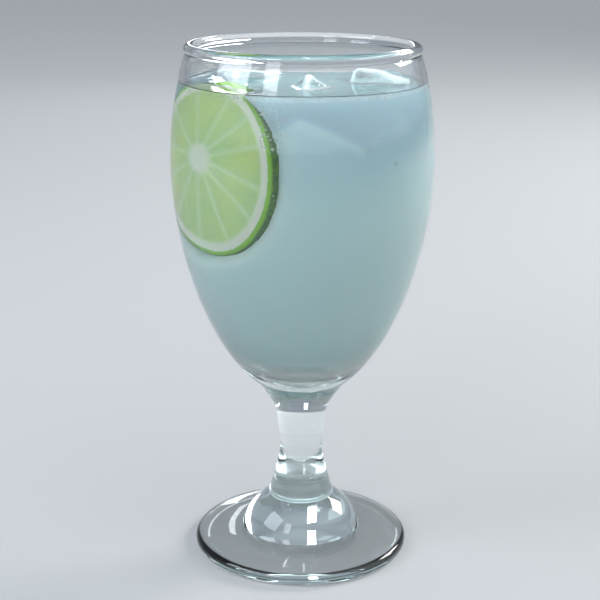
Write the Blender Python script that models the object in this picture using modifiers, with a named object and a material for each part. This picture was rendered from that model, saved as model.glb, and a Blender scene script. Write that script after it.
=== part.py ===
"""A footed goblet of cloudy iced lemonade with a wheel of lime against the glass.

Sizes are in metres. The origin is the centre of the foot, on the surface it stands on, with +Z up.
The wheel of lime stands at the front left (-X, -Y), its top just out of the drink.
"""

import math
import random

import bmesh
import bpy
from mathutils import Matrix, Vector

NAME = "iced_lemonade"

# Bowl of the goblet, outside: an egg, widest at WIDEST_HEIGHT, cut off at the rim and at the stem
TOTAL_HEIGHT = 0.173
WIDEST_RADIUS = 0.0431
WIDEST_HEIGHT = 0.134
EGG_ABOVE = 0.075
EGG_BELOW = 0.0802
EGG_BELOW_POWER = 1.75
EGG_TOP_TURN = 27.0
EGG_FOOT_TURN = -69.0
RIM_BEAD_RADIUS = 0.00165
RIM_CENTRE_RADIUS = 0.0365

# Bowl, inside: an egg of its own that leaves a thick floor
WALL = 0.0021
INNER_EGG_ABOVE = 0.0745
INNER_FLOOR_HEIGHT = 0.0635
INNER_EGG_BELOW_POWER = 1.9
INNER_TOP_TURN = 28.2

# Stem and foot
COLLAR_RADIUS, COLLAR_HEIGHT = 0.0099, 0.0521
NECK_HOLLOW = 0.0003
STEM_TOP_RADIUS, STEM_TOP_HEIGHT = 0.0088, 0.0497
WAIST_RADIUS, WAIST_HEIGHT = 0.0072, 0.0345
STEM_FLARE_RADIUS, STEM_FLARE_HEIGHT = 0.0109, 0.0194
STEM_UPPER_POWER = 1.4
STEM_LOWER_POWER = 1.2
DOME_TOP_RADIUS, DOME_TOP_HEIGHT = 0.0113, 0.0184
DOME_EDGE_RADIUS, DOME_EDGE_HEIGHT = 0.01985, 0.0080
DOME_BULGE = 0.0013
GROOVE_RADIUS, GROOVE_HEIGHT = 0.0205, 0.0071
FOOT_RADIUS = 0.0367
FOOT_EDGE_HEIGHT = 0.0043
FOOT_EDGE_ROUND = 0.0020
PLATE_HOLLOW = 0.0004
STANDING_RING_INNER = 0.0300
RECESS_RADIUS = 0.0264
RECESS_HEIGHT = 0.0014

# Drink
LEVEL = 0.1603
MENISCUS_RISE = 0.0008
MENISCUS_REACH = 0.0022
GAP = 0.0003

# Wheel of lime, facing the glass at LIME_BEARING degrees to the left of the front
LIME_RADIUS = 0.0265
LIME_THICKNESS = 0.0038
LIME_EDGE_ROUND = 0.0010
LIME_HEIGHT = 0.1356
LIME_FACE_REACH = 0.0288
LIME_SLIDE = -0.0025
LIME_BEARING = 54.0
LIME_LEAN = 3.5
LIME_CORE_SHIFT = (-0.0042, 0.0014)
LIME_SEGMENTS = 10
LIME_RELIEF = 0.0003
LIME_CORE_SHARE = 0.12
LIME_FLESH_SHARE = 0.86
LIME_RINGS = (0.0, LIME_CORE_SHARE, 0.3, 0.55, 0.78, LIME_FLESH_SHARE, 0.94)

# Ice: size, centre, turn about X, Y and Z in degrees, width of the top as a share, seed
ICE = {
    "ice_front": ((0.021, 0.020, 0.021), (0.0025, -0.0160, 0.1475), (38, 36, 12), 1.0, 3),
    "ice_right": ((0.022, 0.021, 0.025), (0.0240, 0.0035, 0.1512), (-10, 12, -16), 0.84, 5),
    "ice_left": ((0.021, 0.018, 0.024), (-0.0190, 0.0150, 0.1500), (-12, 10, 30), 0.84, 12),
}
ICE_ROUND = 0.0024
ICE_UNEVEN = 0.0009

GOBLET_STEPS = 48
LIME_STEPS = 60


def clear_scene():
    for obj in list(bpy.data.objects):
        bpy.data.objects.remove(obj, do_unlink=True)


def new_collection(name):
    collection = bpy.data.collections.new(name)
    bpy.context.scene.collection.children.link(collection)
    return collection


def finish_material(name, colour, roughness, transmission=0.0, ior=1.5):
    material = bpy.data.materials.new(name)
    material.use_nodes = True
    shader = material.node_tree.nodes["Principled BSDF"]
    shader.inputs["Base Color"].default_value = (*colour, 1.0)
    shader.inputs["Roughness"].default_value = roughness
    shader.inputs["Metallic"].default_value = 0.0
    shader.inputs["Transmission Weight"].default_value = transmission
    shader.inputs["IOR"].default_value = ior
    return material


def put(name, mesh, material, collection):
    """Links a mesh as a named object with its material. A cutter has none."""
    if material is not None:
        mesh.materials.append(material)
    obj = bpy.data.objects.new(name, mesh)
    collection.objects.link(obj)
    return obj


def turned(name, outline, material, collection, steps):
    """Spins an outline of (radius, height) round Z. It runs down the outer side."""
    mesh = bpy.data.meshes.new(name)
    points = [(radius, 0.0, height) for radius, height in outline]
    mesh.from_pydata(points, [(i, i + 1) for i in range(len(points) - 1)], [])
    obj = put(name, mesh, material, collection)
    screw = obj.modifiers.new("spin", "SCREW")
    screw.axis = "Z"
    screw.steps = steps
    screw.render_steps = steps
    screw.use_merge_vertices = True
    screw.merge_threshold = 0.00001
    screw.use_smooth_shade = True
    return obj


def bake(obj):
    """Puts the modifiers' result into the object's own mesh."""
    graph = bpy.context.evaluated_depsgraph_get()
    graph.update()
    mesh = bpy.data.meshes.new_from_object(obj.evaluated_get(graph))
    obj.modifiers.clear()
    obj.data = mesh
    mesh.shade_smooth()
    mesh.set_sharp_from_angle(angle=math.radians(40))


def turns(start, end, count):
    """Evenly spaced angles in radians from start to end, both in degrees."""
    return [math.radians(start + (end - start) * i / (count - 1)) for i in range(count)]


def egg(radius, above, below, below_power, angles):
    """(radius, height) along an egg. An angle of 0 is its widest place, pi / 2 its top."""
    outline = []
    for angle in angles:
        rise = abs(math.sin(angle))
        offset = above * rise if angle > 0 else -below * rise ** (2 / below_power)
        outline.append((radius * math.cos(angle), WIDEST_HEIGHT + offset))
    return outline


def bulged_line(start, end, bulge, count):
    """Points along a shallow parabola that stands off the chord by bulge, or is hollow below 0."""
    start, end = Vector(start), Vector(end)
    chord = end - start
    side = Vector((-chord.y, chord.x)).normalized()
    points = []
    for i in range(count):
        share = i / (count - 1)
        points.append(tuple(start + chord * share + side * 4 * bulge * share * (1 - share)))
    return points


def inner_egg(shrink, angles):
    """The inside of the bowl, moved inwards by shrink."""
    below = WIDEST_HEIGHT - INNER_FLOOR_HEIGHT - shrink
    return egg(WIDEST_RADIUS - WALL - shrink, INNER_EGG_ABOVE - shrink, below, INNER_EGG_BELOW_POWER, angles)


def rim_outline():
    """The rolled bead, from the inside of the wall over the top to the outside."""
    centre = TOTAL_HEIGHT - RIM_BEAD_RADIUS
    return [
        (RIM_CENTRE_RADIUS + RIM_BEAD_RADIUS * math.cos(angle), centre + RIM_BEAD_RADIUS * math.sin(angle))
        for angle in turns(240, -45, 9)
    ]


def stem_outline():
    """The waisted stem, from under the collar down to its flare on the foot."""
    outline = []
    for share in (1.0, 0.75, 0.5, 0.25, 0.0):
        radius = WAIST_RADIUS + (STEM_TOP_RADIUS - WAIST_RADIUS) * share**STEM_UPPER_POWER
        outline.append((radius, WAIST_HEIGHT + (STEM_TOP_HEIGHT - WAIST_HEIGHT) * share))
    for share in (0.25, 0.5, 0.75, 1.0):
        radius = WAIST_RADIUS + (STEM_FLARE_RADIUS - WAIST_RADIUS) * share**STEM_LOWER_POWER
        outline.append((radius, WAIST_HEIGHT + (STEM_FLARE_HEIGHT - WAIST_HEIGHT) * share))
    return outline


def foot_outline():
    """The dome under the stem, the plate, its round edge and the slightly hollow underside."""
    dome_top = (DOME_TOP_RADIUS, DOME_TOP_HEIGHT)
    dome = bulged_line(dome_top, (DOME_EDGE_RADIUS, DOME_EDGE_HEIGHT), DOME_BULGE, 5)
    middle = FOOT_EDGE_HEIGHT / 2
    edge_centre = FOOT_RADIUS - FOOT_EDGE_ROUND
    edge = [
        (edge_centre + FOOT_EDGE_ROUND * math.cos(angle), middle + middle * math.sin(angle))
        for angle in turns(78, -90, 5)
    ]
    plate = bulged_line((GROOVE_RADIUS, GROOVE_HEIGHT), edge[0], -PLATE_HOLLOW, 3)
    underside = [(STANDING_RING_INNER, 0.0), (RECESS_RADIUS, RECESS_HEIGHT), (0.0, RECESS_HEIGHT)]
    return dome + plate[:-1] + edge + underside


def goblet(collection):
    inside = inner_egg(0.0, turns(-90, INNER_TOP_TURN, 16))
    inside[0] = (0.0, INNER_FLOOR_HEIGHT)
    outside = egg(
        WIDEST_RADIUS, EGG_ABOVE, EGG_BELOW, EGG_BELOW_POWER, turns(EGG_TOP_TURN, EGG_FOOT_TURN, 13)
    )
    neck = bulged_line(outside[-1], (COLLAR_RADIUS, COLLAR_HEIGHT), -NECK_HOLLOW, 4)[1:]
    outline = inside + rim_outline() + outside + neck + stem_outline() + foot_outline()
    glass = finish_material("clear_glass", (0.93, 0.97, 0.96), 0.02, 1.0, 1.5)
    bake(turned("goblet", outline, glass, collection, GOBLET_STEPS))


def lime_disc(name, rings, grow, material, collection):
    """A flat disc with rounded edges, its front face up. grow makes it larger all round."""
    half = LIME_THICKNESS / 2 + grow
    corner = LIME_RADIUS + grow - LIME_EDGE_ROUND
    front = [(corner * share, half) for share in rings]
    for angle in turns(90, 0, 3):
        across = corner + LIME_EDGE_ROUND * math.cos(angle)
        front.append((across, half - LIME_EDGE_ROUND + LIME_EDGE_ROUND * math.sin(angle)))
    outline = front + [(across, -height) for across, height in reversed(front)]
    disc = turned(name, outline, material, collection, LIME_STEPS)
    bake(disc)
    return disc


def lime_place():
    """The wheel's own X lies level along it, its Y points up, and its Z faces the glass."""
    bearing = math.radians(LIME_BEARING)
    lean = math.radians(LIME_LEAN)
    outward = Vector((-math.sin(bearing), -math.cos(bearing), 0.0))
    along = Vector((math.cos(bearing), -math.sin(bearing), 0.0))
    facing = outward * math.cos(lean) + Vector((0.0, 0.0, math.sin(lean)))
    upright = facing.cross(along)
    middle = outward * LIME_FACE_REACH + along * LIME_SLIDE + Vector((0.0, 0.0, LIME_HEIGHT))
    middle -= facing * (LIME_THICKNESS / 2)
    return Matrix.Translation(middle) @ Matrix((along, upright, facing)).transposed().to_4x4()


def lime_wheel(material, collection):
    """The flesh swells between the membranes, which run from a core that sits off centre."""
    wheel = lime_disc("lime_wheel", LIME_RINGS, 0.0, material, collection)
    shift = Vector((*LIME_CORE_SHIFT, 0.0))
    for vertex in wheel.data.vertices:
        place = vertex.co
        share = math.hypot(place.x, place.y) / LIME_RADIUS
        if LIME_CORE_SHARE < share < LIME_FLESH_SHARE:
            swell = math.sqrt(abs(math.sin(math.atan2(place.y, place.x) * LIME_SEGMENTS / 2)))
            place.z += math.copysign(LIME_RELIEF * (swell - 0.5), place.z)
        place += shift * max(0.0, 1 - share)
    wheel.data.transform(lime_place())


def ice_cube(name, size, centre, turn, top_share, seed, grow, material, collection):
    """An uneven, rounded cube of ice. grow makes it larger all round."""
    draw = random.Random(seed)
    shape = bmesh.new()
    bmesh.ops.create_cube(shape, size=1.0)
    for vertex in shape.verts:
        width = top_share if vertex.co.z > 0 else 1.0
        vertex.co *= Vector((size[0] * width, size[1] * width, size[2]))
        vertex.co += Vector([draw.uniform(-ICE_UNEVEN, ICE_UNEVEN) for _ in range(3)])
    bmesh.ops.bevel(shape, geom=shape.edges[:], offset=ICE_ROUND, segments=2, profile=0.5, affect="EDGES")
    shape.normal_update()
    for vertex in shape.verts:
        vertex.co += vertex.normal * grow
    mesh = bpy.data.meshes.new(name)
    shape.to_mesh(mesh)
    shape.free()
    mesh.shade_smooth()
    mesh.set_sharp_from_angle(angle=math.radians(40))
    tilt = Matrix.Identity(4)
    for degrees, axis in zip(turn, "XYZ"):
        tilt = Matrix.Rotation(math.radians(degrees), 4, axis) @ tilt
    mesh.transform(Matrix.Translation(centre) @ tilt)
    put(name, mesh, material, collection)


def lemonade(collection, cutters):
    """The drink up to its level, with a raised edge at the glass, cut round the lime and the ice."""
    edge_height = LEVEL + MENISCUS_RISE - WIDEST_HEIGHT
    top_angle = math.asin(edge_height / (INNER_EGG_ABOVE - GAP))
    wall = inner_egg(GAP, turns(math.degrees(top_angle), -90, 17))
    wall[-1] = (0.0, INNER_FLOOR_HEIGHT + GAP)
    flat_radius = wall[0][0] - MENISCUS_REACH
    top = [
        (0.0, LEVEL),
        (flat_radius / 2, LEVEL),
        (flat_radius, LEVEL),
        (flat_radius + MENISCUS_REACH * 0.6, LEVEL + MENISCUS_RISE * 0.3),
    ]
    cloudy = finish_material("cloudy_lemonade", (0.52, 0.66, 0.66), 0.12)
    drink = turned("lemonade", top + wall, cloudy, collection, GOBLET_STEPS)
    for cutter in cutters.objects:
        cutter.hide_render = True
        cutter.display_type = "WIRE"
        cut = drink.modifiers.new(cutter.name, "BOOLEAN")
        cut.operation = "DIFFERENCE"
        cut.object = cutter


def main():
    clear_scene()
    parts = new_collection(NAME)
    cutters = new_collection("pockets_in_the_drink")
    goblet(parts)
    lime = finish_material("lime", (0.42, 0.62, 0.22), 0.35)
    lime_wheel(lime, parts)
    pocket = lime_disc("lime_pocket", (0.0,), GAP, None, cutters)
    pocket.data.transform(lime_place())
    ice = finish_material("clear_ice", (0.90, 0.96, 0.97), 0.05, 1.0, 1.31)
    for name, (size, centre, turn, top_share, seed) in ICE.items():
        ice_cube(name, size, centre, turn, top_share, seed, 0.0, ice, parts)
        ice_cube(name + "_pocket", size, centre, turn, top_share, seed, GAP, None, cutters)
    lemonade(parts, cutters)


main()
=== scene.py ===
"""Cloudy iced lemonade in a footed goblet, with a wheel of lime against the glass.

The file is laid out as an add-on: a property group holds what a user would change, and each piece has
its own operator. Sizes are in metres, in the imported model's frame: +Z up, -Y towards the viewer, and the
origin at the centre of the foot.
"""

import math
import random

import bmesh
import bpy
from bpy.props import FloatProperty, FloatVectorProperty, IntProperty, PointerProperty
from mathutils import Matrix, Vector, noise
from mathutils.bvhtree import BVHTree


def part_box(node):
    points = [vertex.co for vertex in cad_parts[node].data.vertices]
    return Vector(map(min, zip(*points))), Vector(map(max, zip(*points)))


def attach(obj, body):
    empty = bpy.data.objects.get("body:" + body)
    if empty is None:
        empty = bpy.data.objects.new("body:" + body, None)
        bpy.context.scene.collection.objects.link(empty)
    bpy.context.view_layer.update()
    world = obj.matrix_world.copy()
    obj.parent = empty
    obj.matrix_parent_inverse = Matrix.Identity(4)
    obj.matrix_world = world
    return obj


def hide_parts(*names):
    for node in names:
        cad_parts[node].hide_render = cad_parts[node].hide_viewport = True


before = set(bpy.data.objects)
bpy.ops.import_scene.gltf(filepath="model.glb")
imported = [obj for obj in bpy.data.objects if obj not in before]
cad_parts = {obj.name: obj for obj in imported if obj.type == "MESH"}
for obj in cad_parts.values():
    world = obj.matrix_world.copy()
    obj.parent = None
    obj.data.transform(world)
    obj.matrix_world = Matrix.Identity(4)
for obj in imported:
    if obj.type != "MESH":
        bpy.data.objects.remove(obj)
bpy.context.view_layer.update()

bl_info = {
    "name": "Iced lemonade with lime",
    "version": (1, 0, 0),
    "blender": (4, 5, 0),
    "location": "3D View > Sidebar > Lemonade",
    "description": "Makes a goblet of cloudy lemonade with ice, bubbles and a wheel of lime",
    "category": "Add Mesh",
}

MM = 0.001

# Bowl of the goblet, outside: an egg, widest at WIDEST_HEIGHT, cut off at the rim and at the stem
TOTAL_HEIGHT = float(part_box("goblet")[1][2])
WIDEST_RADIUS = 0.0431
WIDEST_HEIGHT = 0.134
EGG_ABOVE = 0.075
EGG_BELOW = 0.0802
EGG_BELOW_POWER = 1.75
EGG_TOP_TURN = 27.0
EGG_FOOT_TURN = -69.0
RIM_BEAD_RADIUS = 0.00165
RIM_CENTRE_RADIUS = 0.0365

# Bowl, inside: an egg of its own that leaves a thick floor
WALL = 0.0021
INNER_EGG_ABOVE = 0.0745
INNER_FLOOR_HEIGHT = 0.0635
INNER_EGG_BELOW_POWER = 1.9
INNER_TOP_TURN = 28.2

# Stem and foot
COLLAR_RADIUS, COLLAR_HEIGHT = 0.0099, 0.0521
NECK_HOLLOW = 0.0003
STEM_TOP_RADIUS, STEM_TOP_HEIGHT = 0.0088, 0.0497
WAIST_RADIUS, WAIST_HEIGHT = 0.0072, 0.0345
STEM_FLARE_RADIUS, STEM_FLARE_HEIGHT = 0.0109, 0.0194
STEM_UPPER_POWER = 1.4
STEM_LOWER_POWER = 1.2
DOME_TOP_RADIUS, DOME_TOP_HEIGHT = 0.0113, 0.0184
DOME_EDGE_RADIUS, DOME_EDGE_HEIGHT = 0.01985, 0.0080
DOME_BULGE = 0.0013
GROOVE_RADIUS, GROOVE_HEIGHT = 0.0205, 0.0071
FOOT_RADIUS = 0.0367
FOOT_EDGE_HEIGHT = 0.0043
FOOT_EDGE_ROUND = 0.0020
PLATE_HOLLOW = 0.0004
STANDING_RING_INNER = 0.0300
RECESS_RADIUS = 0.0264
RECESS_HEIGHT = 0.0014

# Drink
LEVEL = 0.1603
MENISCUS_RISE = 0.0008
MENISCUS_REACH = 0.0022
CREEP_RISE, CREEP_REACH = 0.0005, 0.0009
CALM_EDGE, CALM_FADE = 0.006, 0.005
INTO_WALL = 0.0003
INTO_ICE = 0.00012
HEART_BEHIND_WALL = 0.0015
HEART_BEHIND_LIME = 0.0006
HEART_BELOW_LEVEL = 0.0006
ICE_SHOWS_FROM = 0.012

# Points along the bowl's wall, along each rounded part and across the drink's level, and the heart's net
WALL_POINTS, ROUND_POINTS, LEVEL_RINGS = 72, 12, 64
HEART_COLUMNS, HEART_ROWS = 300, 130

# Where the heart's colours take over, each from its start to its full strength: a painted glow at the bottom,
# painted shade towards the top and on the top face, and the painted shade and highlight of the ice
BOTTOM_GLOW_HEIGHTS = (0.076, 0.066)
UPPER_SHADE_HEIGHTS = (0.118, 0.156)
TOP_SHADE_RADII = (0.0365, 0.032)
ICE_SHADE_TONES = (0.5, 0.3)
ICE_HIGHLIGHT_TONES = (0.5, 0.65)

# Bubbles: turns round the axis in degrees, heights, bubbles to a square metre, least and largest radius
BUBBLE_PATCHES = {
    "by_the_lime": ((-109, -96), (0.1450, 0.1590), 5.5e5, (0.00014, 0.00045)),
    "at_the_level": ((-180, 180), (0.1592, 0.1602), 1.3e6, (0.00012, 0.00032)),
    "on_the_wall": ((-180, 180), (0.1150, 0.1580), 9.0e3, (0.00012, 0.00040)),
    "largest": ((-48, -46), (0.1388, 0.1402), 1.4e6, (0.00035, 0.00062)),
}
BUBBLE_INSET = 0.0006
PATCH_STEP_DEGREES = 3
PATCH_SHARES = (0.0, 0.25, 0.5, 0.75, 1.0)

# Wheel of lime, facing the glass at LIME_BEARING degrees to the left of the front
LIME_RADIUS = 0.0265
LIME_THICKNESS = 0.0038
LIME_EDGE_ROUND = 0.0010
LIME_UNEVEN = 0.0005
SEGMENT_SWELL, SAC_SWELL = 0.0003, 0.00025
MEMBRANE_SLOPE_MM = 1.1
LIME_HEIGHT = 0.1356
LIME_FACE_REACH = 0.0288
LIME_SLIDE = -0.0025
LIME_BEARING = 54.0
LIME_LEAN = 3.5
LIME_CORE_SHIFT = (-0.0062, 0.0029)
LIME_CORE_SHARE = 0.16
LIME_FLESH_SHARE = 0.87
MEMBRANE_TURNS = (-67, -35, -9, 24, 48, 73, 106, 137, 168, 199, 231, 262)

# Ice: size, centre, turn about X, Y and Z in degrees, width of the top as a share, seed
ICE = {
    "ice_front": ((0.021, 0.020, 0.021), (0.0025, -0.0160, 0.1475), (38, 36, 12), 1.0, 3),
    "ice_right": ((0.022, 0.021, 0.025), (0.0240, 0.0035, 0.1512), (-10, 12, -16), 0.84, 5),
    "ice_left": ((0.021, 0.018, 0.024), (-0.0190, 0.0150, 0.1500), (-12, 10, 30), 0.84, 12),
}
ICE_UNEVEN = 0.0009
# Where the painted glints begin, as a share of the way from a face's middle to its edge
ICE_GLINT_FROM = 0.6

# Melted waves and dimples on the ice: how many go across a cube, and their height
WAVES_ACROSS, WAVE_HEIGHT = 1.3, 0.0005
DIMPLES_ACROSS, DIMPLE_HEIGHT = 3.5, 0.00018

# The photograph's viewpoint, from its vanishing lines and the goblet's ellipses
CAMERA_PLACE = (-0.0006, -0.4462, 0.2179)
CAMERA_PITCH = 73.714
CAMERA_ROLL = 0.3
FOCAL_PIXELS = 1383.3
FRAME_PIXELS = 600
SENSOR_WIDTH = 36.0

# Studio: the floor lies just under the glass, so that light passes between them
FLOOR_BELOW = 0.0002
FLOOR_HALF_WIDTH = 6.0
SKY_DIM, SKY_OPEN = (0.28, 0.31, 0.35), (2.45, 2.62, 2.76)

# Soft lights that point at LIGHT_TARGET: place, width and height, power in watts, colour
LIGHT_TARGET = (0.0, 0.0, 0.10)
LIGHTS = {
    "right_window": ((1.0, 0.62, 0.70), (0.60, 0.45), 15.0, (1.0, 0.99, 0.96)),
    "left_window": ((-0.95, -0.34, 0.72), (0.70, 0.65), 9.0, (0.82, 0.90, 1.0)),
    "front_pane": ((-0.45, -0.78, 0.62), (0.22, 0.4), 1.6, (0.95, 0.98, 1.0)),
    "back_window": ((-0.13, 1.20, 0.42), (0.10, 0.34), 0.5, (0.92, 0.96, 1.0)),
    "ceiling": ((0.0, 0.25, 1.4), (1.6, 1.2), 4.0, (0.95, 0.98, 1.0)),
}


class Worth:
    """A socket's value in a node tree, so that shader maths reads as an expression."""

    def __init__(self, graph, socket):
        self.graph = graph
        self.socket = socket

    def maths(self, operation, *others):
        inputs = dict(enumerate((self, *others)))
        return self.graph.add("ShaderNodeMath", {"operation": operation}, inputs)

    def __add__(self, other):
        return self.maths("ADD", other)

    def __sub__(self, other):
        return self.maths("SUBTRACT", other)

    def __rsub__(self, other):
        return self.graph.add("ShaderNodeMath", {"operation": "SUBTRACT"}, {0: other, 1: self})

    def __mul__(self, other):
        return self.maths("MULTIPLY", other)

    def __truediv__(self, other):
        return self.maths("DIVIDE", other)

    __radd__ = __add__
    __rmul__ = __mul__


class Graph:
    """Adds nodes to a tree by type, settings and inputs."""

    def __init__(self, tree):
        self.tree = tree

    def add(self, kind, settings=None, inputs=None, output=0):
        """Makes a node, its settings first, and returns one of its outputs."""
        node = self.tree.nodes.new(kind)
        for name, value in (settings or {}).items():
            setattr(node, name, value)
        for name, value in (inputs or {}).items():
            self.feed(node.inputs[name], value)
        return Worth(self, node.outputs[output])

    def feed(self, socket, value):
        """Links a worth to a socket, or sets a plain value on it."""
        if isinstance(value, Worth):
            self.tree.links.new(value.socket, socket)
        else:
            socket.default_value = value

    def blend(self, factor, first, second):
        """Mixes two colours."""
        settings = {"data_type": "RGBA", "clamp_factor": True}
        first, second = [part if isinstance(part, Worth) else (*part[:3], 1.0) for part in (first, second)]
        return self.add("ShaderNodeMix", settings, {0: factor, 6: first, 7: second}, 2)

    def ease(self, value, low, high):
        """0 below low and 1 above high, or the reverse where low is the larger, with a soft step between."""
        settings = {"interpolation_type": "SMOOTHSTEP"}
        return self.add("ShaderNodeMapRange", settings, {"Value": value, 1: low, 2: high})

    def place(self):
        return self.add("ShaderNodeTexCoord", output="Object")

    def clouds(self, scale, detail):
        """Noise from 0 to 1 over the piece, at so many lumps to the metre."""
        inputs = {"Vector": self.place(), "Scale": scale, "Detail": detail}
        return self.add("ShaderNodeTexNoise", None, inputs)

    def bump(self, height, distance):
        """A normal from a height between 0 and 1 that is worth distance at its full."""
        return self.add("ShaderNodeBump", None, {"Height": height, "Distance": distance})


def new_finish(name, constants):
    """A material whose unchanging values are set on its shader's own sockets."""
    material = bpy.data.materials.new(name)
    material.use_nodes = True
    shader = material.node_tree.nodes["Principled BSDF"]
    for key, value in constants.items():
        shader.inputs[key].default_value = value
    return material, Graph(material.node_tree), shader


def fill_with(material, kind, constants):
    """Gives a material's inside a volume shader, with constants on its own sockets."""
    tree = material.node_tree
    volume = tree.nodes.new(kind)
    for key, value in constants.items():
        volume.inputs[key].default_value = value
    tree.links.new(volume.outputs[0], tree.nodes["Material Output"].inputs["Volume"])


def glass_finish(look):
    """Clear pressed glass: faint waves in its surface and a blue-green tint through its depth."""
    constants = {"IOR": look.glass_ior, "Transmission Weight": 1.0}
    material, graph, shader = new_finish("clear_glass", constants)
    waves = graph.clouds(90.0, 1.5)
    smears = graph.clouds(260.0, 3.0)
    graph.feed(shader.inputs["Base Color"], graph.blend(smears, (0.975, 0.99, 0.985), (1.0, 1.0, 1.0)))
    graph.feed(shader.inputs["Roughness"], 0.002 + 0.006 * graph.ease(smears, 0.5, 0.75))
    graph.feed(shader.inputs["Normal"], graph.bump(waves, 0.00008))
    fill_with(
        material,
        "ShaderNodeVolumeAbsorption",
        {"Color": (*look.glass_tint, 1.0), "Density": look.glass_depth},
    )
    return material


def liquid_finish(look):
    """Lemonade: water's refraction with a pale haze of juice through it, and no glint against the glass."""
    constants = {"IOR": look.drink_ior, "Transmission Weight": 1.0, "Specular Tint": (0.0, 0.0, 0.0, 1.0)}
    material, graph, shader = new_finish("cloudy_lemonade", constants)
    drift = graph.clouds(70.0, 2.0)
    graph.feed(shader.inputs["Base Color"], graph.blend(drift, (0.98, 1.0, 0.99), (1.0, 1.0, 1.0)))
    graph.feed(shader.inputs["Roughness"], 0.001 + 0.004 * drift)
    fill_with(
        material,
        "ShaderNodeVolumePrincipled",
        {
            "Color": (*look.drink_colour, 1.0),
            "Density": look.drink_haze,
            "Anisotropy": look.drink_forward,
        },
    )
    return material


def heart_finish(look):
    """The cloudy middle of the drink, where the haze is too deep to see through."""
    constants = {
        "Specular IOR Level": 0.0,
        "Subsurface Weight": 1.0,
        "Subsurface Radius": (0.9, 1.0, 1.0),
        "Subsurface Scale": look.heart_softness,
    }
    material, graph, shader = new_finish("cloudy_heart", constants)
    drift = graph.clouds(45.0, 2.0)
    tone = graph.add("ShaderNodeAttribute", {"attribute_name": "tone"}, output="Fac")
    place = graph.place()
    height = graph.add("ShaderNodeSeparateXYZ", None, {0: place}, 2)
    flat = graph.add("ShaderNodeVectorMath", {"operation": "MULTIPLY"}, {0: place, 1: (1.0, 1.0, 0.0)})
    radius = graph.add("ShaderNodeVectorMath", {"operation": "LENGTH"}, {0: flat}, 1)
    shade = [value * 0.96 for value in look.heart_colour]
    colour = graph.blend(drift, shade, look.heart_colour)
    # Painted shade: the heart darker and bluer towards the top, where the ice stands.
    colour = graph.blend(graph.ease(height, *UPPER_SHADE_HEIGHTS), colour, look.upper_painted_shade)
    # Painted glow: the heart paler and yellower at the bottom of the bowl, for the drink lit from behind.
    colour = graph.blend(graph.ease(height, *BOTTOM_GLOW_HEIGHTS), colour, look.bottom_painted_glow)
    # Painted shade and highlight of the ice seen through the haze.
    colour = graph.blend(graph.ease(tone, *ICE_SHADE_TONES), colour, look.ice_painted_shade)
    colour = graph.blend(graph.ease(tone, *ICE_HIGHLIGHT_TONES), colour, look.ice_painted_highlight)
    # Painted shade on the top face, for the dim light from above and the dark room reflected in the surface.
    top = LEVEL - HEART_BELOW_LEVEL
    surface = graph.ease(height, top - 0.0006, top - 0.0001) * graph.ease(radius, *TOP_SHADE_RADII)
    colour = graph.blend(surface, colour, look.top_painted_shade)
    graph.feed(shader.inputs["Base Color"], colour)
    graph.feed(shader.inputs["Roughness"], 0.5 + 0.2 * drift)
    return material


def ice_finish(look):
    """Clear melting ice with fine waves over it, a few paler patches, and painted glints along its melted
    edges.
    """
    constants = {"IOR": look.ice_ior, "Transmission Weight": 1.0}
    material, graph, shader = new_finish("clear_ice", constants)
    melt = graph.clouds(190.0, 2.0)
    frost = graph.ease(graph.clouds(420.0, 3.0), 0.55, 0.75)
    graph.feed(shader.inputs["Base Color"], graph.blend(frost, (0.99, 1.0, 1.0), (0.93, 0.97, 0.98)))
    graph.feed(shader.inputs["Roughness"], 0.004 + 0.03 * frost)
    dents = graph.bump(melt, 0.0009)
    graph.feed(shader.inputs["Normal"], dents)
    # Painted glints: a white matt shader along the melted edges, in place of the lamps' glints on them.
    edge = graph.add("ShaderNodeAttribute", {"attribute_name": "edge"}, output="Fac")
    white = {"Base Color": (0.84, 0.95, 0.97, 1.0), "Roughness": 0.35, "Normal": dents}
    edge_glint = graph.add("ShaderNodeBsdfPrincipled", None, white)
    share = graph.ease(edge + 0.8 * (melt - 0.5), 0.25, 1.0) * look.ice_edge_glint
    mixed = graph.add("ShaderNodeMixShader", None, {0: share, 1: Worth(graph, shader.outputs[0]), 2: edge_glint})
    graph.feed(material.node_tree.nodes["Material Output"].inputs["Surface"], mixed)
    return material


def bubble_finish():
    """The skin of a small bubble, with a faint film that varies from bubble to bubble."""
    material, graph, shader = new_finish("bubble", {"IOR": 1.5, "Transmission Weight": 0.9})
    film = graph.clouds(900.0, 0.0)
    graph.feed(shader.inputs["Base Color"], graph.blend(film, (0.95, 0.98, 0.98), (1.0, 1.0, 1.0)))
    graph.feed(shader.inputs["Roughness"], 0.002 + 0.01 * film)
    return material


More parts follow.
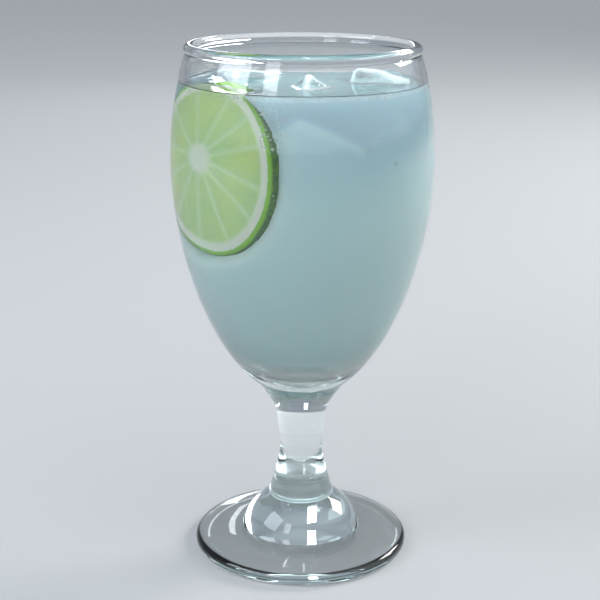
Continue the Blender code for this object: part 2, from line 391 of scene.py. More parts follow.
def lime_finish(look):
    """Flesh, membranes, core, pith and rind, told apart by the reach and membrane attributes."""
    constants = {
        "Specular IOR Level": 0.35,
        "Subsurface Weight": 0.25,
        "Subsurface Radius": (0.7, 1.0, 0.4),
        "Subsurface Scale": 0.0012,
    }
    material, graph, shader = new_finish("lime", constants)
    reach = graph.add("ShaderNodeAttribute", {"attribute_name": "reach"}, output="Fac")
    membrane = graph.add("ShaderNodeAttribute", {"attribute_name": "membrane"}, output="Fac")
    sac = graph.add("ShaderNodeAttribute", {"attribute_name": "sac"}, output="Fac")
    ripe = graph.clouds(75.0, 2.0)
    grain = graph.clouds(900.0, 3.0)
    flesh = graph.blend(graph.ease(ripe, 0.35, 0.7), look.flesh_colour, look.flesh_ripe)
    flesh = graph.blend(graph.ease(sac, 0.25, 0.9) * 0.45, flesh, look.flesh_light)
    line = graph.ease(membrane + 0.5 * grain, 1.9, 0.1)
    flesh = graph.blend(line * 0.75, flesh, look.membrane_colour)
    ragged = reach + 0.035 * (grain - 0.5)
    core = graph.ease(ragged, LIME_CORE_SHARE + 0.06, LIME_CORE_SHARE - 0.05)
    face = graph.blend(core, flesh, look.pith_colour)
    pith = graph.ease(ragged, LIME_FLESH_SHARE - 0.04, LIME_FLESH_SHARE + 0.02)
    face = graph.blend(pith, face, look.pith_colour)
    rind = graph.blend(graph.ease(reach, 1.0, 1.075), look.rind_edge, look.rind_colour)
    rind = graph.blend(graph.ease(graph.clouds(1300.0, 2.0), 0.45, 0.7) * 0.5, rind, look.rind_edge)
    colour = graph.blend(graph.ease(ragged, 0.945, 0.965), face, rind)
    graph.feed(shader.inputs["Base Color"], colour)
    graph.feed(shader.inputs["Roughness"], 0.3 + 0.25 * grain)
    graph.feed(shader.inputs["Normal"], graph.bump(grain, 0.00012))
    return material


def floor_finish(look):
    """A pale matt studio paper."""
    material, graph, shader = new_finish("studio_paper", {"Specular IOR Level": 0.2})
    fibre = graph.clouds(420.0, 4.0)
    pale = look.floor_colour
    shade = [value * 0.97 for value in pale]
    graph.feed(shader.inputs["Base Color"], graph.blend(fibre, shade, pale))
    graph.feed(shader.inputs["Roughness"], 0.7 + 0.1 * fibre)
    return material


def new_tree(name, inputs):
    """A tree of geometry nodes with one output, and its inputs by name and kind of socket."""
    tree = bpy.data.node_groups.new(name, "GeometryNodeTree")
    for label, kind in inputs.items():
        tree.interface.new_socket(label, in_out="INPUT", socket_type="NodeSocket" + kind)
    tree.interface.new_socket("Piece", in_out="OUTPUT", socket_type="NodeSocketGeometry")
    graph = Graph(tree)
    given = tree.nodes.new("NodeGroupInput")
    return graph, [Worth(graph, given.outputs[i]) for i in range(len(inputs))]


def end_tree(graph, piece, finish):
    """Makes a tree's piece real, gives it its material and leads it to the output."""
    real = graph.add("GeometryNodeRealizeInstances", None, {"Geometry": piece})
    done = graph.add("GeometryNodeSetMaterial", None, {"Geometry": real, "Material": finish})
    graph.feed(graph.tree.nodes.new("NodeGroupOutput").inputs[0], done)
    return graph.tree


def lathe_tree():
    """Geometry nodes that turn an outline of (radius, 0, height) round Z."""
    inputs = {"Outline": "Geometry", "Steps": "Int", "Finish": "Material"}
    graph, (outline, steps, finish) = new_tree("lathe", inputs)
    count = graph.add("GeometryNodeAttributeDomainSize", {"component": "MESH"}, {"Geometry": outline})
    grid = graph.add(
        "GeometryNodeMeshGrid",
        None,
        {"Size X": 1.0, "Size Y": 1.0, "Vertices X": steps + 1, "Vertices Y": count},
    )
    index = graph.add("GeometryNodeInputIndex")
    column = (index / count).maths("FLOOR")
    row = index - column * count
    where = graph.add("GeometryNodeInputPosition")
    point = graph.add(
        "GeometryNodeSampleIndex",
        {"data_type": "FLOAT_VECTOR", "domain": "POINT"},
        {"Geometry": outline, "Value": where, "Index": row},
    )
    turn = graph.add(
        "ShaderNodeVectorRotate",
        {"rotation_type": "Z_AXIS"},
        {"Vector": point, "Angle": column * (2 * math.pi) / steps},
    )
    placed = graph.add("GeometryNodeSetPosition", None, {"Geometry": grid, "Position": turn})
    closed = graph.add("GeometryNodeMergeByDistance", None, {"Geometry": placed, "Distance": 0.000002})
    smooth = graph.add("GeometryNodeSetShadeSmooth", None, {"Geometry": closed})
    return end_tree(graph, smooth, finish)


def link_object(name, data):
    """A new object in the scene, at the origin."""
    obj = bpy.data.objects.new(name, data)
    bpy.context.scene.collection.objects.link(obj)
    return obj


def plain_mesh(name, shape):
    """A mesh made from a bmesh, which is then freed."""
    mesh = bpy.data.meshes.new(name)
    shape.to_mesh(mesh)
    shape.free()
    return mesh


def evaluated_mesh(obj):
    """The mesh that an object's modifiers make, as a plain mesh of its own."""
    graph = bpy.context.evaluated_depsgraph_get()
    graph.update()
    return bpy.data.meshes.new_from_object(obj.evaluated_get(graph))


def run_tree(tree, mesh, values):
    """Puts a mesh through a tree of geometry nodes with named inputs and returns the plain result."""
    carrier = link_object(tree.name, mesh)
    modifier = carrier.modifiers.new(tree.name, "NODES")
    modifier.node_group = tree
    sockets = {item.name: item.identifier for item in tree.interface.items_tree if item.in_out == "INPUT"}
    for name, value in values.items():
        modifier[sockets[name]] = value
    result = evaluated_mesh(carrier)
    bpy.data.objects.remove(carrier, do_unlink=True)
    return result


def face_outwards(mesh):
    shape = bmesh.new()
    shape.from_mesh(mesh)
    bmesh.ops.recalc_face_normals(shape, faces=shape.faces)
    shape.to_mesh(mesh)
    shape.free()


def turned(name, outline, steps, material):
    """A closed piece turned from its outline of (radius, height)."""
    line = bpy.data.meshes.new(name + "_outline")
    points = [(radius, 0.0, height) for radius, height in outline]
    line.from_pydata(points, [(i, i + 1) for i in range(len(points) - 1)], [])
    mesh = run_tree(lathe_tree(), line, {"Steps": steps, "Finish": material})
    face_outwards(mesh)
    mesh.shade_smooth()
    mesh.set_sharp_from_angle(angle=math.radians(35))
    mesh.name = name
    return mesh


def add_piece(name, mesh, slot, *nodes):
    """Links a finished mesh, which rides on the goblet's body and stands for its CAD nodes."""
    piece = link_object(name, mesh)
    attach(piece, "root")
    if nodes:
        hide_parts(*nodes)
    return piece


def turns(start, end, count):
    """Evenly spaced angles in radians from start to end, both in degrees."""
    return [math.radians(start + (end - start) * i / (count - 1)) for i in range(count)]


def egg(radius, above, below, below_power, angles):
    """(radius, height) along an egg. An angle of 0 is its widest place, pi / 2 its top."""
    outline = []
    for angle in angles:
        rise = abs(math.sin(angle))
        offset = above * rise if angle > 0 else -below * rise ** (2 / below_power)
        outline.append((radius * math.cos(angle), WIDEST_HEIGHT + offset))
    return outline


def inner_egg(shrink, angles):
    """The inside of the bowl, moved inwards by shrink."""
    below = WIDEST_HEIGHT - INNER_FLOOR_HEIGHT - shrink
    return egg(WIDEST_RADIUS - WALL - shrink, INNER_EGG_ABOVE - shrink, below, INNER_EGG_BELOW_POWER, angles)


def bulged_line(start, end, bulge, count):
    """Points along a shallow parabola that stands off the chord by bulge, or is hollow below 0."""
    start, end = Vector(start), Vector(end)
    chord = end - start
    side = Vector((-chord.y, chord.x)).normalized()
    points = []
    for i in range(count):
        share = i / (count - 1)
        points.append(tuple(start + chord * share + side * 4 * bulge * share * (1 - share)))
    return points


def rim_outline(points):
    """The rolled bead, from the inside of the wall over the top to the outside."""
    centre = TOTAL_HEIGHT - RIM_BEAD_RADIUS
    return [
        (RIM_CENTRE_RADIUS + RIM_BEAD_RADIUS * math.cos(angle), centre + RIM_BEAD_RADIUS * math.sin(angle))
        for angle in turns(240, -45, points)
    ]


def stem_outline(points):
    """The waisted stem, from under the collar down to its flare on the foot."""
    outline = []
    for i in range(points):
        share = 1 - i / (points - 1)
        radius = WAIST_RADIUS + (STEM_TOP_RADIUS - WAIST_RADIUS) * share**STEM_UPPER_POWER
        outline.append((radius, WAIST_HEIGHT + (STEM_TOP_HEIGHT - WAIST_HEIGHT) * share))
    for i in range(1, points):
        share = i / (points - 1)
        radius = WAIST_RADIUS + (STEM_FLARE_RADIUS - WAIST_RADIUS) * share**STEM_LOWER_POWER
        outline.append((radius, WAIST_HEIGHT + (STEM_FLARE_HEIGHT - WAIST_HEIGHT) * share))
    return outline


def foot_outline(points):
    """The dome under the stem, the plate, its round edge and the slightly hollow underside."""
    dome_top = (DOME_TOP_RADIUS, DOME_TOP_HEIGHT)
    dome = bulged_line(dome_top, (DOME_EDGE_RADIUS, DOME_EDGE_HEIGHT), DOME_BULGE, points)
    middle = FOOT_EDGE_HEIGHT / 2
    edge_centre = FOOT_RADIUS - FOOT_EDGE_ROUND
    edge = [
        (edge_centre + FOOT_EDGE_ROUND * math.cos(angle), middle + middle * math.sin(angle))
        for angle in turns(78, -90, points)
    ]
    plate = bulged_line((GROOVE_RADIUS, GROOVE_HEIGHT), edge[0], -PLATE_HOLLOW, points)
    underside = [(STANDING_RING_INNER, 0.0), (RECESS_RADIUS, RECESS_HEIGHT), (0.0, RECESS_HEIGHT)]
    return dome + plate[:-1] + edge + underside


def goblet_outline():
    """The whole goblet, from the middle of the bowl's floor over the rim to the middle of the foot."""
    inside = inner_egg(0.0, turns(-90, INNER_TOP_TURN, WALL_POINTS))
    inside[0] = (0.0, INNER_FLOOR_HEIGHT)
    outside_turns = turns(EGG_TOP_TURN, EGG_FOOT_TURN, WALL_POINTS)
    outside = egg(WIDEST_RADIUS, EGG_ABOVE, EGG_BELOW, EGG_BELOW_POWER, outside_turns)
    neck = bulged_line(outside[-1], (COLLAR_RADIUS, COLLAR_HEIGHT), -NECK_HOLLOW, ROUND_POINTS)[1:]
    below = stem_outline(ROUND_POINTS) + foot_outline(ROUND_POINTS)
    return inside + rim_outline(2 * ROUND_POINTS) + outside + neck + below


def lime_place():
    """The wheel's own X lies level along it, its Y points up, and its Z faces the glass."""
    bearing = math.radians(LIME_BEARING)
    lean = math.radians(LIME_LEAN)
    outward = Vector((-math.sin(bearing), -math.cos(bearing), 0.0))
    along = Vector((math.cos(bearing), -math.sin(bearing), 0.0))
    facing = outward * math.cos(lean) + Vector((0.0, 0.0, math.sin(lean)))
    upright = facing.cross(along)
    middle = outward * LIME_FACE_REACH + along * LIME_SLIDE + Vector((0.0, 0.0, LIME_HEIGHT))
    middle -= facing * (LIME_THICKNESS / 2)
    return Matrix.Translation(middle) @ Matrix((along, upright, facing)).transposed().to_4x4()


def membrane_distance(angle, across):
    """Distance in millimetres from a place on the cut face to its nearest membrane."""
    nearest = min(abs(math.remainder(angle - math.radians(turn), 2 * math.pi)) for turn in MEMBRANE_TURNS)
    return across * math.sin(min(nearest, math.pi / 2)) / MM


def sac_swell(angle, across, side):
    """How far a juice sac swells here, from 0 to 1. The sacs are long and lie along the radius."""
    place = Vector((math.cos(angle) * 9, math.sin(angle) * 9, across / MM * 0.16 + side * 20))
    return 0.5 + 0.5 * noise.noise(place)


def skin(shape, rings):
    """Joins each ring of points to the next, facing outwards. A ring of one point is a pole."""
    for inner, outer in zip(rings, rings[1:]):
        count = max(len(inner), len(outer))
        for i in range(count):
            j = (i + 1) % count
            around = ((inner, i), (outer, i), (outer, j), (inner, j))
            corners = [ring[step % len(ring)] for ring, step in around]
            shape.faces.new(list(dict.fromkeys(corners)))
    bmesh.ops.recalc_face_normals(shape, faces=shape.faces)


def lime_wheel_mesh(look):
    """A polar net over both cut faces and the rind, in the wheel's own axes."""
    half = LIME_THICKNESS / 2
    corner = LIME_RADIUS - LIME_EDGE_ROUND
    rows = [("face", i / look.lime_rings) for i in range(1, look.lime_rings + 1)]
    rows += [("edge", i / look.lime_round) for i in range(1, look.lime_round + 1)]
    shape = bmesh.new()
    layers = [shape.verts.layers.float.new(name) for name in ("reach", "membrane", "sac")]
    rings = []
    for side in (1, -1):
        middle = shape.verts.new((*LIME_CORE_SHIFT, side * half))
        side_rings = [[middle]]
        for kind, share in rows:
            ring = []
            for step in range(look.lime_steps):
                angle = 2 * math.pi * step / look.lime_steps
                uneven = noise.noise(Vector((math.cos(angle), math.sin(angle), 3.0))) * LIME_UNEVEN
                if kind == "face":
                    across, lift, reach = corner * share, half, share * corner / LIME_RADIUS
                else:
                    turn = math.pi / 2 * share
                    across = corner + LIME_EDGE_ROUND * math.sin(turn)
                    lift = half - LIME_EDGE_ROUND * (1 - math.cos(turn))
                    reach = corner / LIME_RADIUS + 0.1 * share
                membrane = membrane_distance(angle, across)
                sac = sac_swell(angle, across, side)
                if LIME_CORE_SHARE < reach < LIME_FLESH_SHARE:
                    swell = 1 - math.exp(-membrane / MEMBRANE_SLOPE_MM)
                    lift += SEGMENT_SWELL * (swell - 0.6) + SAC_SWELL * (sac - 0.5) * swell
                across += uneven * share if kind == "face" else uneven
                drift = max(0.0, 1 - across / LIME_RADIUS)
                place = Vector((across * math.cos(angle), across * math.sin(angle), side * lift))
                place += Vector((*LIME_CORE_SHIFT, 0.0)) * drift
                vertex = shape.verts.new(place)
                for layer, value in zip(layers, (reach, membrane, sac)):
                    vertex[layer] = value
                ring.append(vertex)
            side_rings.append(ring)
        rings.append(side_rings)
    skin(shape, rings[0] + list(reversed(rings[1])))
    mesh = plain_mesh("lime", shape)
    mesh.shade_smooth()
    mesh.transform(lime_place())
    return mesh


def ice_corners(size, top_share, seed):
    """The uneven cube's eight corners by their signs."""
    draw = random.Random(seed)
    shape = bmesh.new()
    bmesh.ops.create_cube(shape, size=1.0)
    corners = {}
    for vertex in shape.verts:
        signs = tuple(int(math.copysign(1, value)) for value in vertex.co)
        width = top_share if vertex.co.z > 0 else 1.0
        place = vertex.co * Vector((size[0] * width, size[1] * width, size[2]))
        place += Vector([draw.uniform(-ICE_UNEVEN, ICE_UNEVEN) for _ in range(3)])
        corners[signs] = place
    shape.free()
    return corners


def inside_corners(corners, at):
    """A place inside the uneven cube, for coordinates from -1 to 1."""
    total = Vector()
    for signs, place in corners.items():
        total += place * math.prod((1 + sign * value) / 2 for sign, value in zip(signs, at))
    return total


def ice_mesh(name, size, centre, turn, top_share, seed, grow, look):
    """A cube of ice with melted edges and slightly uneven faces. grow makes it larger all round."""
    corners = ice_corners(size, top_share, seed)
    margins = [look.ice_round / (length / 2) for length in size]
    shape = bmesh.new()
    bmesh.ops.create_cube(shape, size=2.0)
    bmesh.ops.subdivide_edges(shape, edges=shape.edges[:], cuts=look.ice_detail, use_grid_fill=True)
    # How near each place is to an edge, for the painted glints along the edges.
    edge_layer = shape.verts.layers.float.new("edge")
    for vertex in shape.verts:
        at = [math.copysign(math.sin(abs(value) * math.pi / 2) ** 0.8, value) for value in vertex.co]
        nearness = sorted(abs(value) for value in at)[1]
        vertex[edge_layer] = max(0.0, (nearness - ICE_GLINT_FROM) / (1 - ICE_GLINT_FROM))
        core = [max(margin - 1, min(1 - margin, value)) for value, margin in zip(at, margins)]
        out = Vector([(a - b) * length / 2 for a, b, length in zip(at, core, size)]).normalized()
        melt = noise.noise(Vector(at) * WAVES_ACROSS + Vector((seed, 0, 0))) * WAVE_HEIGHT
        melt += noise.noise(Vector(at) * DIMPLES_ACROSS + Vector((0, seed, 0))) * DIMPLE_HEIGHT
        vertex.co = inside_corners(corners, core) + out * (look.ice_round + grow + melt)
    bmesh.ops.recalc_face_normals(shape, faces=shape.faces)
    mesh = plain_mesh(name, shape)
    mesh.shade_smooth()
    tilt = Matrix.Identity(4)
    for degrees, axis in zip(turn, "XYZ"):
        tilt = Matrix.Rotation(math.radians(degrees), 4, axis) @ tilt
    mesh.transform(Matrix.Translation(centre) @ tilt)
    return mesh


def liquid_outline():
    """The drink's level with its raised edge, and the wall and floor that it fills."""
    top_angle = math.asin((LEVEL + MENISCUS_RISE - WIDEST_HEIGHT) / (INNER_EGG_ABOVE + INTO_WALL))
    wall = inner_egg(-INTO_WALL, turns(math.degrees(top_angle), -90, WALL_POINTS))
    wall[-1] = (0.0, INNER_FLOOR_HEIGHT - INTO_WALL)
    edge = wall[0][0]
    top = []
    for i in range(LEVEL_RINGS):
        radius = edge * math.sin(math.pi / 2 * i / LEVEL_RINGS)
        rise = MENISCUS_RISE * math.exp(-3 * (edge - radius) / MENISCUS_REACH)
        top.append((radius, LEVEL + rise))
    return top + wall


def ripple_top(mesh, standing, ripple):
    """Faint ripples on the drink's surface, which also creeps up what stands in it."""
    trees = [search_tree(piece) for piece in standing]
    for vertex in mesh.vertices:
        if vertex.co.z < LEVEL - 0.0001:
            continue
        radius = math.hypot(vertex.co.x, vertex.co.y)
        calm = min(1.0, max(0.0, (WIDEST_RADIUS - CALM_EDGE - radius) / CALM_FADE))
        wave = noise.noise(vertex.co * 150) + 0.5 * noise.noise(vertex.co * 420)
        nearest = min(tree.find_nearest(vertex.co)[3] for tree in trees)
        vertex.co.z += ripple * wave * calm + CREEP_RISE * math.exp(-nearest / CREEP_REACH)


def blurred(rows, reach, around):
    """Averages a table of numbers along its rows, which close on themselves, or across them."""
    height, width = len(rows), len(rows[0])
    result = []
    for i in range(height):
        line = []
        for j in range(width):
            total, weight = 0.0, 0.0
            for step in range(-2 * reach, 2 * reach + 1):
                y = i if around else min(height - 1, max(0, i + step))
                x = (j + step) % width if around else j
                share = math.exp(-((step / reach) ** 2))
                total += rows[y][x] * share
                weight += share
            line.append(total / weight)
        result.append(line)
    return result


def search_tree(mesh):
    """A mesh's faces in a form that finds hits and near places quickly."""
    return BVHTree.FromPolygons([v.co for v in mesh.vertices], [p.vertices for p in mesh.polygons])


def ice_painted_light(ice_trees, place, way):
    """The painted light of the ice behind a place, seen through the haze: below 0.5 is painted shade, deeper
    where the ice is near and where its face tilts up, and above 0.5 is a painted highlight on ridges and
    corners that face the glass.
    """
    dark, light = 0.0, 0.0
    for tree in ice_trees:
        hit, normal, _, depth = tree.ray_cast(place, -way)
        if hit is not None:
            near = math.exp(-depth / ICE_SHOWS_FROM)
            ridge = max(0.0, normal.dot(way)) ** 4
            light = max(light, near * ridge)
            dark = max(dark, near * (1 - ridge) * max(0.0, 0.35 + normal.z))
    return 0.5 + 0.5 * (light - dark)


def heart_mesh(lime, ice_pieces):
    """The cloudy middle: it fills the bowl up to the level, but stays behind the lime."""
    lime_tree = search_tree(lime)
    ice_trees = [search_tree(ice) for ice in ice_pieces]
    top_angle = math.asin((LEVEL - HEART_BELOW_LEVEL - WIDEST_HEIGHT) / (INNER_EGG_ABOVE - HEART_BEHIND_WALL))
    wall = inner_egg(HEART_BEHIND_WALL, turns(-90, math.degrees(top_angle), HEART_ROWS))[1:]
    around = turns(0, 360, HEART_COLUMNS + 1)[:-1]
    ways = [Vector((math.cos(angle), math.sin(angle), 0.0)) for angle in around]
    reaches, tones = [], []
    for radius, height in wall:
        axis = Vector((0.0, 0.0, height))
        hits = [lime_tree.ray_cast(axis, way)[3] for way in ways]
        reaches.append([1.0 if hit is None else min(1.0, (hit - HEART_BEHIND_LIME) / radius) for hit in hits])
        # Painted shade and highlight from the ice behind each point of the net.
        tones.append([ice_painted_light(ice_trees, axis + way * radius, way) for way in ways])
    soft = blurred(blurred(reaches, 4, True), 3, False)
    tones = blurred(blurred(tones, 1, True), 1, False)
    shape = bmesh.new()
    tone_layer = shape.verts.layers.float.new("tone")
    rings = [[shape.verts.new((0.0, 0.0, INNER_FLOOR_HEIGHT + HEART_BEHIND_WALL))]]
    rings[0][0][tone_layer] = 0.5
    for i, (radius, height) in enumerate(wall):
        ring = []
        for j, way in enumerate(ways):
            across = radius * min(soft[i][j], reaches[i][j])
            vertex = shape.verts.new(way * across + Vector((0.0, 0.0, height)))
            vertex[tone_layer] = tones[i][j]
            ring.append(vertex)
        rings.append(ring)
    rings.append([shape.verts.new((0.0, 0.0, LEVEL - HEART_BELOW_LEVEL))])
    rings[-1][0][tone_layer] = 0.5
    skin(shape, rings)
    mesh = plain_mesh("cloudy_heart", shape)
    mesh.shade_smooth()
    return mesh


def wall_patch(spread, heights):
    """A patch of the drink just inside the wall, between two turns in degrees and two heights."""
    shape = bmesh.new()
    rows = []
    for angle in turns(*spread, 2 + int(abs(spread[1] - spread[0]) / PATCH_STEP_DEGREES)):
        row = []
        for share in PATCH_SHARES:
            height = heights[0] + (heights[1] - heights[0]) * share
            above = INNER_EGG_ABOVE if height > WIDEST_HEIGHT else WIDEST_HEIGHT - INNER_FLOOR_HEIGHT
            narrowing = math.sqrt(1 - ((height - WIDEST_HEIGHT) / above) ** 2)
            radius = (WIDEST_RADIUS - WALL) * narrowing - BUBBLE_INSET
            row.append(shape.verts.new((radius * math.cos(angle), radius * math.sin(angle), height)))
        rows.append(row)
    for near, far in zip(rows, rows[1:]):
        for i in range(len(near) - 1):
            shape.faces.new((near[i], far[i], far[i + 1], near[i + 1]))
    return plain_mesh("wall_patch", shape)


def bubble_tree():
    """Geometry nodes that scatter small round bubbles over a patch."""
    inputs = {"Patch": "Geometry", "Count": "Float", "Seed": "Int"}
    inputs |= {"Least": "Float", "Largest": "Float", "Finish": "Material"}
    graph, (patch, count, seed, least, largest, finish) = new_tree("bubbles", inputs)
    points = graph.add(
        "GeometryNodeDistributePointsOnFaces",
        {"distribute_method": "RANDOM"},
        {"Mesh": patch, "Density": count, "Seed": seed},
    )
    draw = graph.add("FunctionNodeRandomValue", {"data_type": "FLOAT"}, {2: 0.0, 3: 1.0, "Seed": seed}, 1)
    radius = least + (largest - least) * draw * draw
    ball = graph.add("GeometryNodeMeshIcoSphere", None, {"Radius": 1.0, "Subdivisions": 3})
    placed = {"Points": points, "Instance": ball, "Scale": radius}
    return end_tree(graph, graph.add("GeometryNodeInstanceOnPoints", None, placed), finish)


def cut_pockets(mesh, cutters):
    """Cuts the cutters' shapes out of a mesh and returns the result."""
    carrier = link_object("drink_with_pockets", mesh)
    helpers = [link_object(cutter.name, cutter) for cutter in cutters]
    for helper in helpers:
        cut = carrier.modifiers.new(helper.name, "BOOLEAN")
        cut.operation = "DIFFERENCE"
        cut.solver = "MANIFOLD"
        cut.object = helper
    result = evaluated_mesh(carrier)
    for obj in [carrier, *helpers]:
        bpy.data.objects.remove(obj, do_unlink=True)
    return result


class LemonadeLook(bpy.types.PropertyGroup):
    """What a user would change on the goblet of lemonade."""

    glass_ior: FloatProperty(
        name="Glass refraction", description="Index of refraction of the glass", default=1.5,
    )
    glass_tint: FloatVectorProperty(
        name="Glass tint", description="Colour of light after a long way through the glass",
        subtype="COLOR", default=(0.62, 0.88, 0.86),
    )
    glass_depth: FloatProperty(
        name="Tint strength", description="How strongly a metre of glass takes its tint", default=10.0,
    )
    glass_steps: IntProperty(name="Goblet steps", description="Faces round the goblet", default=192)
    drink_ior: FloatProperty(
        name="Drink refraction", description="Index of refraction of the drink", default=1.333,
    )
    ripple: FloatProperty(
        name="Ripples", description="Height of the ripples on the drink", default=0.00012, unit="LENGTH",
    )
    drink_colour: FloatVectorProperty(
        name="Drink colour", description="Colour of light after one scattering in the drink",
        subtype="COLOR", default=(0.95, 0.995, 0.995),
    )
    drink_haze: FloatProperty(name="Haze", description="Scatterings in a metre of drink", default=19.0)
    drink_forward: FloatProperty(
        name="Forward scattering", description="How far light keeps its way in the haze", default=0.75,
    )
    heart_colour: FloatVectorProperty(
        name="Heart colour", description="Colour of the cloudy middle of the drink", subtype="COLOR",
        default=(0.71, 0.95, 0.94),
    )
    # Painted shade: the heart darker and bluer towards the top, where the ice stands.
    upper_painted_shade: FloatVectorProperty(
        name="Upper colour", description="Colour of the drink between the ice", subtype="COLOR",
        default=(0.53, 0.735, 0.82),
    )
    # Painted shade on the heart's top face, for the dim light from above and the dark room reflected in the
    # surface.
    top_painted_shade: FloatVectorProperty(
        name="Surface", description="Colour of the haze just under the drink's surface", subtype="COLOR",
        default=(0.34, 0.53, 0.55),
    )
    # Painted glow at the bottom of the bowl, for the drink lit from behind, not settled pulp.
    bottom_painted_glow: FloatVectorProperty(
        name="Settled pulp", description="Colour of the drink at the bottom of the bowl", subtype="COLOR",
        default=(0.93, 1.0, 0.88),
    )
    # Painted shade of the ice's faces behind the haze.
    ice_painted_shade: FloatVectorProperty(
        name="Ice shade", description="Colour of the haze before a face of ice", subtype="COLOR",
        default=(0.47, 0.66, 0.73),
    )
    # Painted highlight on the ridges of the ice behind the haze.
    ice_painted_highlight: FloatVectorProperty(
        name="Ice ridge", description="Colour of the haze before a ridge of ice", subtype="COLOR",
        default=(0.66, 0.87, 0.90),
    )
    heart_softness: FloatProperty(
        name="Heart softness", description="How far light wanders in the cloudy middle", default=0.008,
        unit="LENGTH",
    )
    ice_ior: FloatProperty(name="Ice refraction", description="Index of refraction of the ice", default=1.31)
    ice_round: FloatProperty(
        name="Melted edges", description="Roundness of the edges of the ice", default=0.0024, unit="LENGTH",
    )
    # Painted glints: how white the matt layer on the ice's edges is, in place of the lamps' glints on them.
    ice_edge_glint: FloatProperty(
        name="Ice crust", description="How white the melting edges of the ice are", default=0.7,
        subtype="FACTOR",
    )
    ice_detail: IntProperty(name="Ice detail", description="Cuts along each edge of an ice cube", default=22)
    lime_steps: IntProperty(name="Lime steps", description="Points round the wheel of lime", default=432)
    lime_rings: IntProperty(name="Lime rings", description="Rings across each cut face", default=56)
    lime_round: IntProperty(name="Rind rows", description="Rows round each edge of the rind", default=8)
    flesh_colour: FloatVectorProperty(
        name="Flesh", description="Colour of the lime's flesh", subtype="COLOR", default=(0.53, 0.79, 0.30),
    )
    flesh_ripe: FloatVectorProperty(
        name="Ripe flesh", description="Colour of the riper patches", subtype="COLOR",
        default=(0.68, 0.84, 0.28),
    )
    flesh_light: FloatVectorProperty(
        name="Juice sacs", description="Colour where the juice sacs swell", subtype="COLOR",
        default=(0.67, 0.88, 0.47),
    )
    membrane_colour: FloatVectorProperty(
        name="Membranes", description="Colour of the membranes", subtype="COLOR", default=(0.74, 0.93, 0.60),
    )
    pith_colour: FloatVectorProperty(
        name="Pith", description="Colour of the pith and the core", subtype="COLOR",
        default=(0.94, 1.0, 0.83),
    )
    rind_edge: FloatVectorProperty(
        name="Rind's edge", description="Colour of the rind next to the pith", subtype="COLOR",
        default=(0.26, 0.60, 0.005),
    )
    rind_colour: FloatVectorProperty(
        name="Rind", description="Colour of the rind's outside", subtype="COLOR",
        default=(0.012, 0.10, 0.002),
    )
    bubble_share: FloatProperty(
        name="Bubbles", description="Share of the usual number of bubbles", default=1.0, subtype="FACTOR",
    )
    bubble_seed: IntProperty(name="Bubble seed", description="Which random draw the bubbles take", default=7)
    floor_colour: FloatVectorProperty(
        name="Floor", description="Colour of the pale floor", subtype="COLOR", default=(0.37, 0.37, 0.375),
    )


class LEMONADE_OT_goblet(bpy.types.Operator):
    """Make the glass goblet"""

    bl_idname = "lemonade.goblet"
    bl_label = "Goblet"

    def execute(self, context):
        look = context.scene.lemonade_look
        mesh = turned("clear_goblet", goblet_outline(), look.glass_steps, glass_finish(look))
        add_piece("clear_goblet", mesh, "glass", "goblet")
        return {"FINISHED"}


class LEMONADE_OT_lime(bpy.types.Operator):
    """Make the wheel of lime"""

    bl_idname = "lemonade.lime"
    bl_label = "Wheel of lime"

    def execute(self, context):
        look = context.scene.lemonade_look
        mesh = lime_wheel_mesh(look)
        mesh.materials.append(lime_finish(look))
        add_piece("cut_lime", mesh, "lime", "lime_wheel")
        return {"FINISHED"}


class LEMONADE_OT_ice(bpy.types.Operator):
    """Make the pieces of ice that break the surface"""

    bl_idname = "lemonade.ice"
    bl_label = "Ice"

    def execute(self, context):
        look = context.scene.lemonade_look
        finish = ice_finish(look)
        for node, shape in ICE.items():
            mesh = ice_mesh("melting_" + node, *shape, 0.0, look)
            mesh.materials.append(finish)
            add_piece("melting_" + node, mesh, "ice", node)
        return {"FINISHED"}


class LEMONADE_OT_drink(bpy.types.Operator):
    """Make the cloudy drink round the ice"""

    bl_idname = "lemonade.drink"
    bl_label = "Drink"

    def execute(self, context):
        look = context.scene.lemonade_look
        finish = liquid_finish(look)
        full = turned("full_drink", liquid_outline(), look.glass_steps, finish)
        cutters = [ice_mesh(node + "_pocket", *shape, -INTO_ICE, look) for node, shape in ICE.items()]
        mesh = cut_pockets(full, cutters)
        mesh.name = "cloudy_drink"
        face_outwards(mesh)
        mesh.shade_smooth()
        mesh.set_sharp_from_angle(angle=math.radians(35))
        lime = bpy.data.objects["cut_lime"].data
        ripple_top(mesh, [*cutters, lime], look.ripple)
        add_piece("cloudy_drink", mesh, "lemonade", "lemonade")
        heart = heart_mesh(lime, [bpy.data.objects["melting_" + node].data for node in ICE])
        heart.materials.append(heart_finish(look))
        add_piece("cloudy_heart", heart, "lemonade", "lemonade")
        return {"FINISHED"}


class LEMONADE_OT_bubbles(bpy.types.Operator):
    """Make the small bubbles on the inside of the glass"""

    bl_idname = "lemonade.bubbles"
    bl_label = "Bubbles"

    def execute(self, context):
        look = context.scene.lemonade_look
        finish = bubble_finish()
        tree = bubble_tree()
        for i, (name, (spread, heights, count, radii)) in enumerate(BUBBLE_PATCHES.items()):
            values = {
                "Count": count * look.bubble_share,
                "Seed": look.bubble_seed + i,
                "Least": radii[0],
                "Largest": radii[1],
                "Finish": finish,
            }
            mesh = run_tree(tree, wall_patch(spread, heights), values)
            if not mesh.polygons:
                raise RuntimeError(f"no bubbles fell on the patch {name}")
            mesh.shade_smooth()
            add_piece("bubbles_" + name, mesh, "lemonade")
        return {"FINISHED"}


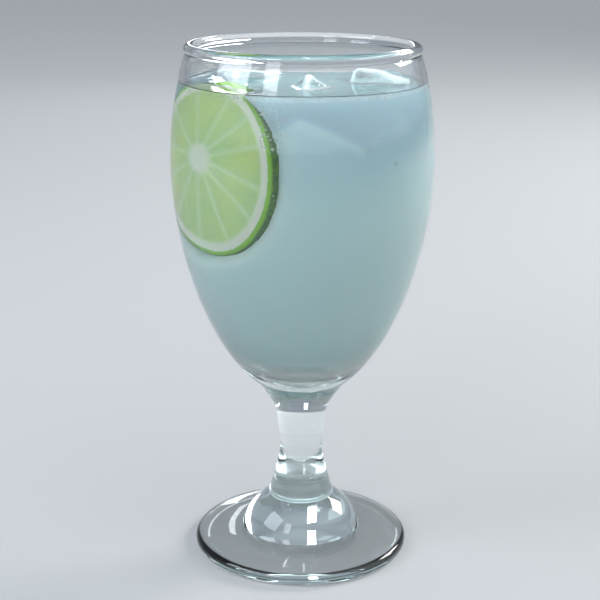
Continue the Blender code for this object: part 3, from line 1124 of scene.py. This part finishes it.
def stage_floor(look):
    """A wide pale floor, just under the foot."""
    shape = bmesh.new()
    bmesh.ops.create_grid(shape, x_segments=8, y_segments=8, size=FLOOR_HALF_WIDTH)
    mesh = plain_mesh("studio_floor", shape)
    mesh.transform(Matrix.Translation((0.0, 0.0, -FLOOR_BELOW)))
    mesh.materials.append(floor_finish(look))
    floor = link_object("studio_floor", mesh)


def area_light(name, place, size, power, colour):
    """A rectangular soft light that points at the goblet."""
    data = bpy.data.lights.new(name, "AREA")
    data.shape = "RECTANGLE"
    data.size, data.size_y = size
    data.energy = power
    data.color = colour
    light = link_object(name, data)
    light.location = place
    light.rotation_euler = (Vector(LIGHT_TARGET) - Vector(place)).to_track_quat("-Z", "Y").to_euler()


def stage_world():
    """A soft pale room, bright at the front and dim low down and behind the goblet."""
    world = bpy.data.worlds.new("studio")
    bpy.context.scene.world = world
    world.use_nodes = True
    graph = Graph(world.node_tree)
    way = graph.add("ShaderNodeTexCoord", output="Generated")
    side, depth, height = [graph.add("ShaderNodeSeparateXYZ", None, {0: way}, i) for i in range(3)]
    open_side = graph.ease(0.85 * depth - 0.45 * side + 0.3 * height, 0.6, -0.7)
    above = 0.35 + 0.65 * graph.ease(height, -0.1, 0.75)
    sky = graph.blend(open_side * above, SKY_DIM, SKY_OPEN)
    background = world.node_tree.nodes["Background"]
    graph.feed(background.inputs["Color"], sky)
    background.inputs["Strength"].default_value = 1.0


def stage_camera():
    """The camera at the photograph's viewpoint, with its framing."""
    data = bpy.data.cameras.new("photograph")
    data.sensor_width = SENSOR_WIDTH
    data.lens = FOCAL_PIXELS / FRAME_PIXELS * SENSOR_WIDTH
    camera = link_object("photograph", data)
    roll = Matrix.Rotation(math.radians(CAMERA_ROLL), 4, "Z")
    pitch = Matrix.Rotation(math.radians(CAMERA_PITCH), 4, "X")
    camera.matrix_world = Matrix.Translation(CAMERA_PLACE) @ pitch @ roll
    bpy.context.scene.camera = camera


class LEMONADE_OT_stage(bpy.types.Operator):
    """Make the floor, the lights and the camera"""

    bl_idname = "lemonade.stage"
    bl_label = "Stage"

    def execute(self, context):
        stage_floor(context.scene.lemonade_look)
        stage_world()
        stage_camera()
        for name, settings in LIGHTS.items():
            area_light(name, *settings)
        scene = context.scene
        scene.view_settings.view_transform = "Standard"
        scene.cycles.max_bounces = 32
        scene.cycles.transmission_bounces = 24
        scene.cycles.volume_bounces = 16
        scene.cycles.transparent_max_bounces = 16
        return {"FINISHED"}


class LEMONADE_PT_panel(bpy.types.Panel):
    """The pieces and what can be changed on them"""

    bl_label = "Iced lemonade"
    bl_space_type = "VIEW_3D"
    bl_region_type = "UI"
    bl_category = "Lemonade"

    def draw(self, context):
        for operator in OPERATORS:
            self.layout.operator(operator.bl_idname)
        for name in LemonadeLook.__annotations__:
            self.layout.prop(context.scene.lemonade_look, name)


OPERATORS = (
    LEMONADE_OT_goblet,
    LEMONADE_OT_lime,
    LEMONADE_OT_ice,
    LEMONADE_OT_drink,
    LEMONADE_OT_bubbles,
    LEMONADE_OT_stage,
)
CLASSES = (LemonadeLook, *OPERATORS, LEMONADE_PT_panel)


def register():
    for kind in CLASSES:
        bpy.utils.register_class(kind)
    bpy.types.Scene.lemonade_look = PointerProperty(type=LemonadeLook)


def unregister():
    del bpy.types.Scene.lemonade_look
    for kind in reversed(CLASSES):
        bpy.utils.unregister_class(kind)


def main():
    register()
    bpy.ops.lemonade.goblet()
    bpy.ops.lemonade.lime()
    bpy.ops.lemonade.ice()
    bpy.ops.lemonade.drink()
    bpy.ops.lemonade.bubbles()
    bpy.ops.lemonade.stage()


if __name__ == "__main__":
    main()
